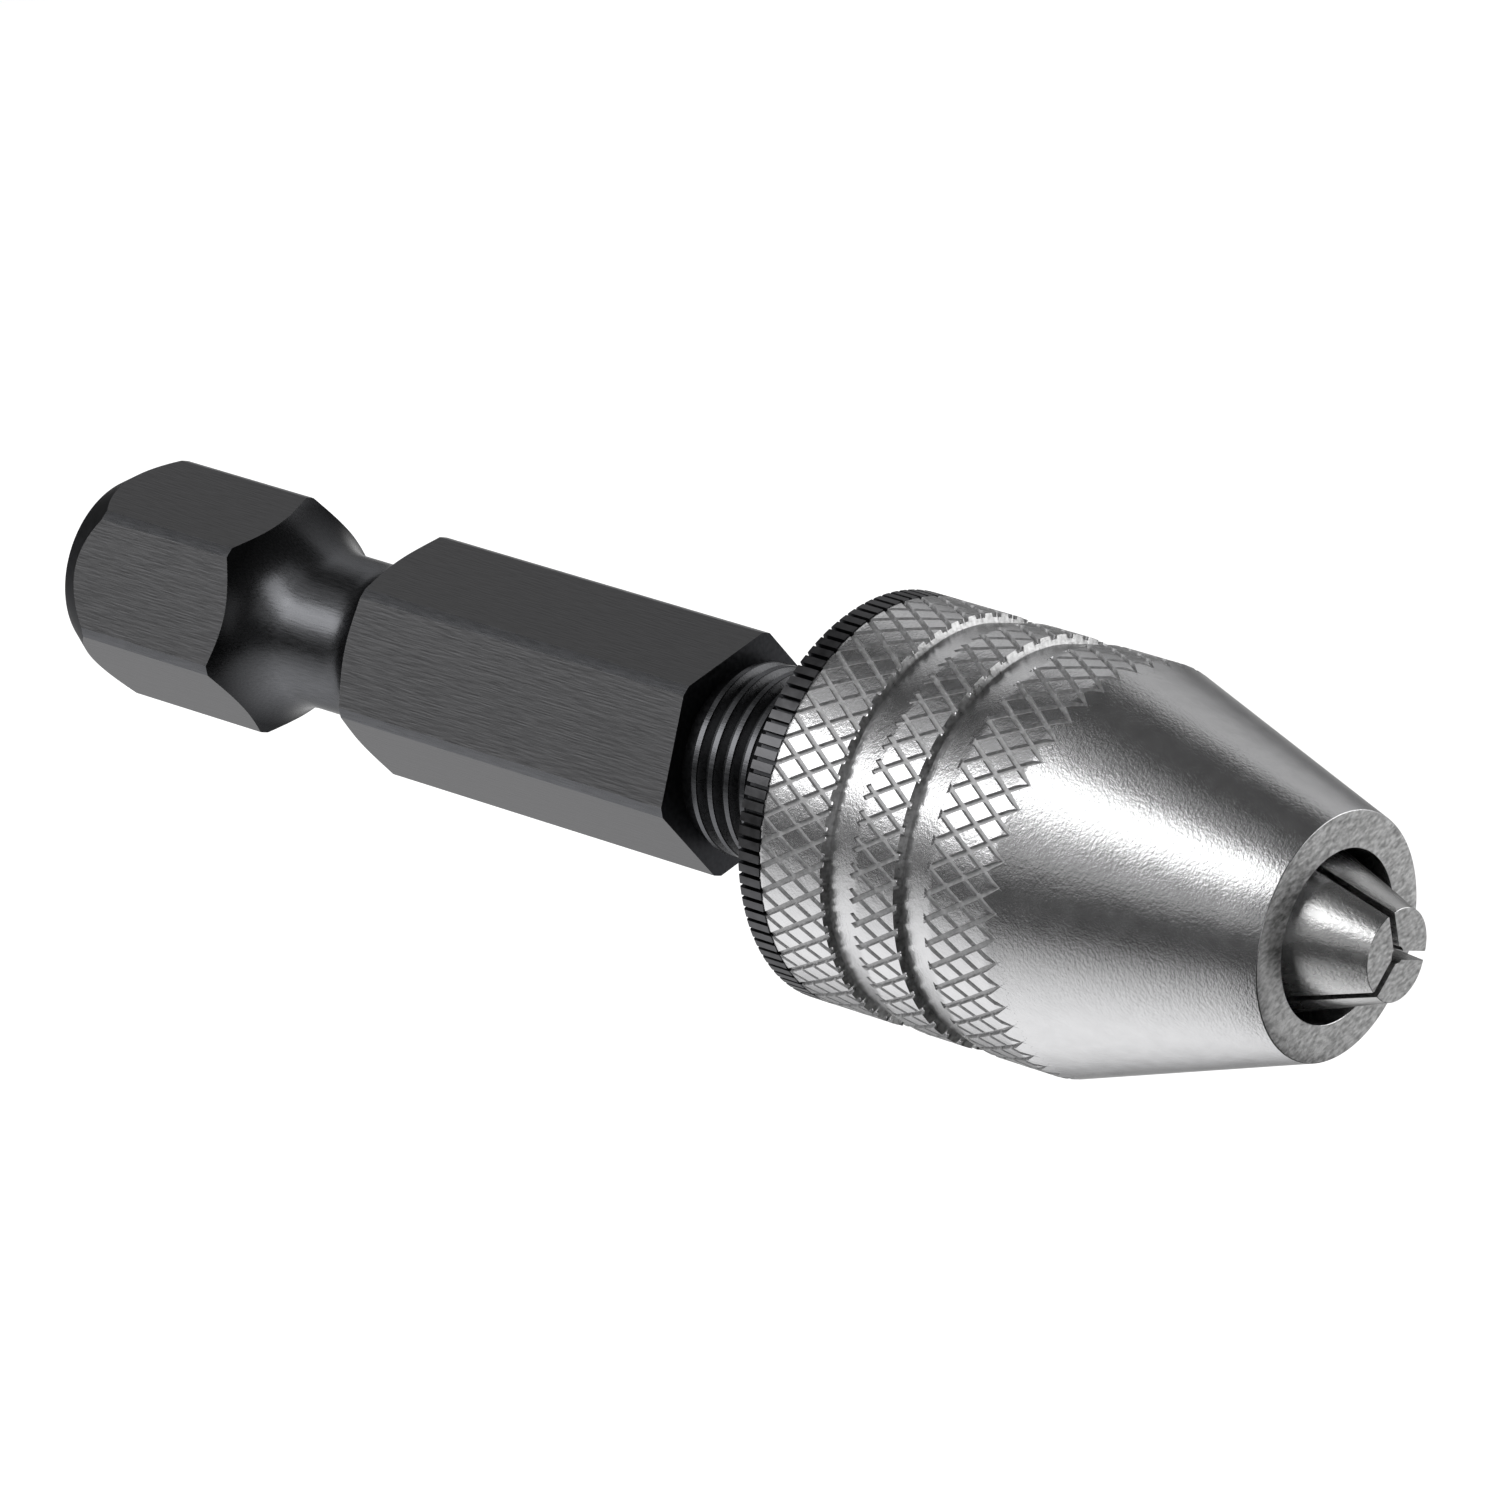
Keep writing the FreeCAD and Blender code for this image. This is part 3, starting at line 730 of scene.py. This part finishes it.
def make_materials():
    """Every finish of the chuck, and its painted shade, by name."""
    along = (13, 1, 1)
    even = (1, 1, 1)
    return {
        # front=0.22 paints shade on the steep sides of the turned oxide that face the nose
        "black": steel(
            "black_oxide_turned", (0.135, 0.137, 0.145), 0.28, 0.45,
            bumps=[(0.003 * MM, 0.06 * MM, along, 3)],
            mottle=(0.05 * MM, (10, 1, 1), 0.14, 0.04), wear=(0.05 * MM, 0.3), front=0.22),
        "black_flat": steel(
            "black_oxide_flat", (0.147, 0.147, 0.151), 0.46, 0.75,
            bumps=[(0.009 * MM, 0.06 * MM, along, 3)],
            mottle=(0.06 * MM, along, 0.16, 0.05), wear=(0.05 * MM, 0.2)),
        "black_flank": steel(
            "black_oxide_flank", (0.10, 0.101, 0.105), 0.30, 0.6,
            bumps=[(0.003 * MM, 0.05 * MM, (1, 0.4, 0.4))],
            mottle=(0.10 * MM, (2, 1, 1), 0.20, 0.05)),
        # a near-black copy of the oxide: painted shade for recesses and for sides that lie in shade
        "painted_shade_black": steel(
            "black_oxide_painted_shade", (0.058, 0.059, 0.063), 0.42, 0.4,
            bumps=[(0.002 * MM, 0.06 * MM)],
            mottle=(0.15 * MM, even, 0.25, 0.05)),
        "nut": steel(
            "black_nut_oxide", (0.12, 0.12, 0.125), 0.34, 0.5,
            bumps=[(0.002 * MM, 0.08 * MM)],
            mottle=(0.3 * MM, even, 0.15, 0.05), wear=(0.02 * MM, 0.5)),
        "bright": steel(
            "bright_plating", (0.80, 0.80, 0.81), 0.21, 0.2,
            bumps=[(0.010 * MM, 0.11 * MM, (0.8, 1, 1), 4, 0.6), (0.003 * MM, 0.045 * MM)],
            mottle=(0.5 * MM, even, 0.04, 0.03)),
        "knurl": steel(
            "knurl_groove", (0.62, 0.62, 0.625), 0.62, 0.5,
            bumps=[(0.004 * MM, 0.06 * MM)],
            mottle=(0.12 * MM, even, 0.18, 0.05)),
        "wall": steel(
            "turned_wall", (0.66, 0.66, 0.66), 0.32, 0.2,
            bumps=[(0.006 * MM, 0.06 * MM)],
            mottle=(0.15 * MM, even, 0.25, 0.05)),
        "ground": steel(
            "ground_face", (0.54, 0.54, 0.54), 0.42, 0.3,
            bumps=[(0.010 * MM, 0.10 * MM, (1, 1.6, 1), 3)],
            mottle=(0.10 * MM, (1, 2.2, 1), 0.48, 0.06)),
        "jaw": steel(
            "jaw_steel", (0.74, 0.74, 0.74), 0.26, 0.2,
            bumps=[(0.009 * MM, 0.10 * MM, (1.4, 1, 1), 4, 0.6)],
            mottle=(0.3 * MM, (3, 1, 1), 0.08, 0.04)),
        "washer": steel(
            "washer_steel", (0.45, 0.45, 0.46), 0.30, 0.5,
            bumps=[(0.002 * MM, 0.06 * MM, (1, 1, 8))],
            mottle=(0.4 * MM, even, 0.08, 0.05)),
        "spring": steel(
            "spring_wire", (0.55, 0.55, 0.57), 0.28, 0.5,
            bumps=[(0.001 * MM, 0.05 * MM)],
            mottle=(0.2 * MM, even, 0.10, 0.05)),
    }


# ---------------------------------------------------------------------------------------------
# Which faces get a finish or a painted shade of their own

# How far a face's normal leans along the axis: 0 for a face along it, 1 for one square to it.
FLAT_LEAN, CHAMFER_LEAN, WALL_LEAN, SQUARE_LEAN = 0.01, 0.3, 0.4, 0.99
# Distances from the axis to the middles of faces: the thread's roots are inside the first, its
# slopes lie between the first and the second, and the nut's slots between the last two.
ROOT_REACH, FLANK_REACH = THREAD_RADIUS - 0.9 * THREAD_DEPTH, THREAD_RADIUS - 0.035 * MM
SLOT_LOW, SLOT_HIGH = 0.9 * SLEEVE_RADIUS, SLEEVE_RADIUS - TOOTH_CHAMFER


def paint_faces(thing, material, chosen):
    """Gives the faces for which chosen says yes their own material."""
    index = len(thing.data.materials)
    thing.data.materials.append(material)
    for face in thing.data.polygons:
        if chosen(face):
            face.material_index = index


def faces_front(station):
    """Chooses the faces that lie in the plane at a station."""
    return lambda face: abs(face.center.x - station) < 2 * SMALL


def off_axis(face):
    """Distance of a face's middle from the axis."""
    return hypot(face.center.y, face.center.z)


def is_flat(face):
    """One of the hexagon's flats."""
    off_plane = abs(face.center.dot(face.normal) - HALF_FLATS)
    return abs(face.normal.x) < FLAT_LEAN and off_plane < SMALL


def gets_painted_shade(face):
    """The rear chamfer, the hexagon's front face, the relief and the thread's roots, which are
    painted near black as shade.
    """
    if face.center.x < REAR_CHAMFER_END:
        return face.normal.x < -CHAMFER_LEAN
    if face.center.x < HEXAGON_FRONT + SMALL:
        return face.normal.x > SQUARE_LEAN and face.center.x > HEXAGON_FRONT - SMALL
    return off_axis(face) < ROOT_REACH


def is_flank(face):
    """The slopes of the thread."""
    return face.center.x > HEXAGON_FRONT + SMALL and ROOT_REACH < off_axis(face) < FLANK_REACH


def is_slot(face):
    """The floors and walls of the nut's slots, and the rim of its rear face between them, which are
    painted near black as shade.
    """
    return face.center.x < FLANGE_FRONT and SLOT_LOW < off_axis(face) < SLOT_HIGH


def is_groove_wall(face):
    """The steep wall of a grip groove."""
    past = [face.center.x - wall for wall in WALL_STATIONS]
    return face.normal.x > WALL_LEAN and any(-SMALL < step < GRIP_WALL for step in past)


# ---------------------------------------------------------------------------------------------
# Camera, lights and floor

AIM = Vector((24.296, 0.356, -0.045)) * MM            # in the middle of the view
CAMERA_DISTANCE = 291.589 * MM
CAMERA_AZIMUTH = radians(-45.237)
CAMERA_ELEVATION = radians(30.130)
CAMERA_ROLL = radians(-9.468)
LENS, SENSOR = 244.511, 36           # the camera's own millimetres
FLOOR_HEIGHT = cad_low[2] - 25 * MM
FLOOR_RADIUS = 0.6
FLOOR_SHADE, FLAG_SHADE, SKY_SHADE = 0.35, 0.02, 0.07
MATT = 0.9                           # roughness of the floor and the flag
GLOW_CENTRE = (-0.014, 0.038, 0)     # the floor glows evenly around this place
GLOW_RADIUS = 0.058
GLOW_FADE = 0.075                    # and beyond its edge it fades by e in each such length
FLAG_CORNERS = (0.043, -0.30), (0.50, 0.020)      # X and Y
FLAG_HEIGHT = FLOOR_HEIGHT + 0.5 * MM
SOFTBOXES = [
    # name, (station, radius, degrees) of each end, width and radiance
    ("key_rear", (-0.68, 0.31, 131), (-0.10, 0.31, 132), 0.17, 1.9),
    ("key_front", (-0.10, 0.31, 132), (0.06, 0.30, 106), 0.12, 1.9),
    ("key_halo", (-0.70, 0.317, 142), (0.06, 0.30, 109), 0.46, 0.32),
    ("far_fill", (-0.39, 0.3, 12), (0.3, 0.3, 12), 0.30, 0.45),
    ("rear_fill", (-0.45, 0.3, 26), (-0.18, 0.3, 26), 0.30, 0.30),
    ("front_fill", (0.12, 0.3, 5), (0.6, 0.3, 5), 0.32, 1.5),
    ("side_fill", (0.24, 0.32, 160), (0.66, 0.32, 152), 0.22, 0.50),
]


def direction(azimuth, elevation):
    return Vector((
        cos(elevation) * cos(azimuth), cos(elevation) * sin(azimuth), sin(elevation)))


def looking(place, target, roll):
    """The pose of a camera at a place that looks at a target."""
    turn = (target - place).to_track_quat("-Z", "Y").to_matrix().to_4x4()
    return Matrix.Translation(place) @ turn @ Matrix.Rotation(roll, 4, "Z")


def add_camera():
    data = bpy.data.cameras.new("camera")
    data.lens = LENS
    data.sensor_width = SENSOR
    data.clip_start = 1 * MM
    camera = bpy.data.objects.new("camera", data)
    bpy.context.scene.collection.objects.link(camera)
    place = AIM + CAMERA_DISTANCE * direction(CAMERA_AZIMUTH, CAMERA_ELEVATION)
    camera.matrix_world = looking(place, AIM, CAMERA_ROLL)
    bpy.context.scene.camera = camera


def add_softbox(name, start, end, width, radiance):
    """A long softbox between two points, turned towards the chuck's axis."""
    middle, along = (start + end) / 2, (end - start).normalized()
    data = bpy.data.lights.new(name, "AREA")
    data.shape = "RECTANGLE"
    data.size, data.size_y = (end - start).length, width
    data.energy = radiance * pi * data.size * data.size_y
    light = bpy.data.objects.new(name, data)
    light.visible_camera = False
    bpy.context.scene.collection.objects.link(light)
    back = Vector((0, middle.y, middle.z))
    back = (back - along * back.dot(along)).normalized()
    turn = Matrix((along, back.cross(along), back)).transposed().to_4x4()
    light.matrix_world = Matrix.Translation(middle) @ turn


def add_floor():
    """A pale floor that glows like a light table near the chuck."""
    mesh = bmesh.new()
    bmesh.ops.create_circle(mesh, cap_ends=True, segments=128, radius=FLOOR_RADIUS)
    bmesh.ops.translate(mesh, verts=mesh.verts, vec=(0, 0, FLOOR_HEIGHT))
    floor_piece = finished(mesh, "floor")
    material, tree, shader = new_material("pale_light_table")
    place = node(tree, "TexCoord").outputs["Object"]
    flat = node(tree, "VectorMath", {0: place, 1: (1, 1, 0)}, operation="MULTIPLY").outputs[0]
    away = node(tree, "VectorMath", {0: flat, 1: GLOW_CENTRE}, operation="DISTANCE")
    past = arithmetic(tree, "SUBTRACT", away.outputs["Value"], GLOW_RADIUS)
    past = arithmetic(tree, "MULTIPLY", arithmetic(tree, "MAXIMUM", past), -1 / GLOW_FADE)
    feed(tree, shader, {
        "Base Color": (FLOOR_SHADE, FLOOR_SHADE, FLOOR_SHADE, 1), "Roughness": MATT,
        "Emission Color": (1, 1, 1, 1), "Emission Strength": arithmetic(tree, "EXPONENT", past)})
    floor_piece.data.materials.append(material)


def add_flag():
    """A studio flag: a black card on the floor ahead of the chuck, which only reflections show."""
    mesh = bmesh.new()
    (x1, y1), (x2, y2) = FLAG_CORNERS
    corners = ((x1, y1), (x2, y1), (x2, y2), (x1, y2))
    mesh.faces.new([mesh.verts.new((x, y, FLAG_HEIGHT)) for x, y in corners])
    flag = finished(mesh, "black_flag")
    flag.visible_camera = flag.visible_diffuse = flag.visible_shadow = False
    material, tree, shader = new_material("black_card")
    feed(tree, shader, {
        "Base Color": (FLAG_SHADE, FLAG_SHADE, FLAG_SHADE, 1), "Roughness": MATT})
    flag.data.materials.append(material)


def add_light():
    world = bpy.data.worlds.new("studio")
    world.use_nodes = True
    sky = world.node_tree.nodes["Background"].inputs
    sky["Color"].default_value = (SKY_SHADE, SKY_SHADE, SKY_SHADE, 1)
    sky["Strength"].default_value = 1.0
    bpy.context.scene.world = world
    bpy.context.scene.view_settings.view_transform = "Standard"
    for name, *ends, width, radiance in SOFTBOXES:
        start, end = [at(station, radius, radians(turn)) for station, radius, turn in ends]
        add_softbox(name, start, end, width, radiance)


# ---------------------------------------------------------------------------------------------
# The chuck


def stand_for(thing, cad_node, body, material):
    """Puts a finished piece in the place of its CAD node."""
    thing.data.materials.append(material)
    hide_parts(cad_node)
    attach(thing, body)


def repaint(cad_node, material):
    """Gives a CAD node that stays in view its material."""
    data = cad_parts[cad_node].data
    data.materials.clear()
    data.materials.append(material)


def main():
    finish = make_materials()
    add_camera()
    add_floor()
    add_flag()
    add_light()
    shank = make_shank()
    stand_for(shank, "hex_shank", "shank", finish["black"])
    paint_faces(shank, finish["black_flat"], is_flat)
    # painted shade: near black on the rear chamfer, the hexagon's front face, the relief and the
    # thread's roots
    paint_faces(shank, finish["painted_shade_black"], gets_painted_shade)
    paint_faces(shank, finish["black_flank"], is_flank)
    nut = make_nut()
    stand_for(nut, "knurled_nut", "sleeve", finish["nut"])
    # painted shade: near black in the nut's slots and on the rim of its rear face
    paint_faces(nut, finish["painted_shade_black"], is_slot)
    sleeve = make_sleeve()
    stand_for(sleeve, "sleeve", "sleeve", finish["bright"])
    sleeve.data.materials.append(finish["knurl"])
    paint_faces(sleeve, finish["ground"], faces_front(SLEEVE_FRONT))
    paint_faces(sleeve, finish["wall"], is_groove_wall)
    for name, angle in JAW_ANGLES.items():
        jaw = make_jaw(name, angle)
        stand_for(jaw, name, name, finish["jaw"])
        paint_faces(jaw, finish["ground"], faces_front(JAW_FRONT))
    repaint("thrust_washer", finish["washer"])
    for name in SPRING_NODES:
        repaint(name, finish["spring"])


main()
